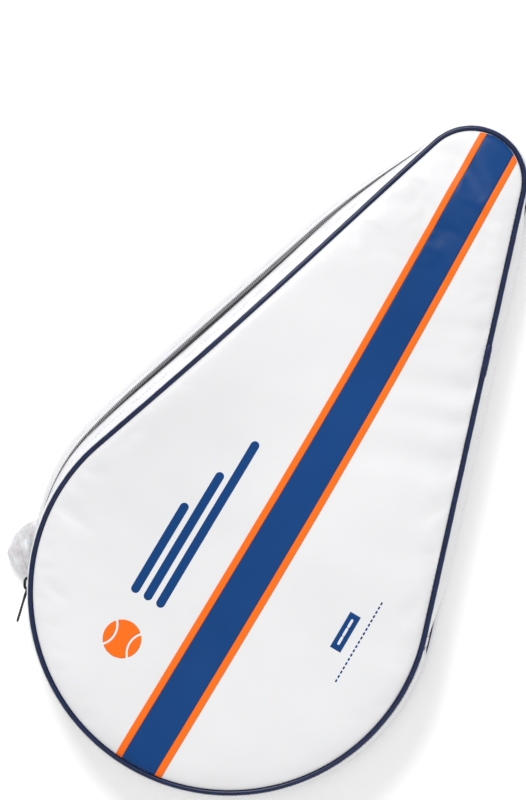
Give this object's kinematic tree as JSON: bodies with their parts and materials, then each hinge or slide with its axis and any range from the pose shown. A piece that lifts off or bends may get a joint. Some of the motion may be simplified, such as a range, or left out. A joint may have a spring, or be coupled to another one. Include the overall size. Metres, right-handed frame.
{
  "type": "padel racket case",
  "caption": "Padded teardrop racket case with piped edges and a coil zip around its split side wall, lying on its back with the mouth part open.",
  "frame": {"origin": "centre of the head circle on the back panel's outer face, which rests on the surface", "axes": "+Y along the case from its round head to its narrow tip, +X towards the hinge side, +Z out of the front panel"},
  "size_m": [0.3048, 0.529, 0.0808],
  "materials": {
    "white_pu": "satin",
    "navy_piping": "gloss",
    "foam": "matte",
    "grey_lining": "matte",
    "white_tape": "matte",
    "black_coil": "satin",
    "grey_binding": "matte",
    "blue_band": "satin",
    "orange_edge": "satin",
    "blue_print": "satin",
    "orange_print": "satin",
    "black_metal": "satin",
    "black_rubber": "satin",
    "soft_satin": "satin"
  },
  "bodies": {
    "back_shell": {"back_skin": "white_pu", "back_foam": "foam", "back_lining": "grey_lining", "back_piping": "navy_piping", "back_gusset": "white_pu", "back_zip_tape": "white_tape", "back_zip_teeth": "black_coil", "back_zip_stops": "black_metal", "back_seam_binding": "grey_binding", "gusset_tuck": "soft_satin"},
    "hinge_strip": {"hinge_gusset": "white_pu", "hinge_facing": "grey_lining", "zip_end_tab": "white_pu", "zip_top_tab": "white_pu"},
    "front_cover": {"front_skin": "white_pu", "front_foam": "foam", "front_lining": "grey_lining", "front_piping": "navy_piping", "piping_join": "navy_piping", "front_gusset": "white_pu", "front_zip_tape": "white_tape", "front_zip_teeth": "black_coil", "front_zip_stops": "black_metal", "front_seam_binding": "grey_binding", "centre_band": "blue_band", "band_edge_left": "orange_edge", "band_edge_right": "orange_edge", "print_bars": "blue_print", "print_ball": "orange_print", "label_patch": "blue_print", "print_line": "blue_print"},
    "slider": {"zip_slider": "black_metal"},
    "pull": {"pull_loop": "black_metal", "pull_tab": "black_rubber"}
  },
  "joints": [
    {"name": "gusset_fold", "type": "hinge", "parent": "back_shell", "child": "hinge_strip", "pos_m": [0.13709, 0.04439, 0.0025], "axis": [-0.308, 0.9514, 0], "range_deg": [0, 90]},
    {"name": "cover_open", "type": "hinge", "parent": "hinge_strip", "child": "front_cover", "pos_m": [0.13709, 0.04439, 0.0495], "axis": [-0.308, 0.9514, 0], "range_deg": [0, 85]},
    {"name": "slider_travel", "type": "hinge", "parent": "back_shell", "child": "slider", "pos_m": [0, 0, 0.026], "axis": [0, 0, 1], "range_deg": [0, 160]},
    {"name": "pull_swing", "type": "hinge", "parent": "slider", "child": "pull", "pos_m": [-0.13043, -0.07207, 0.026], "axis": [0, 0, -1], "range_deg": [0, 105]}
  ]
}
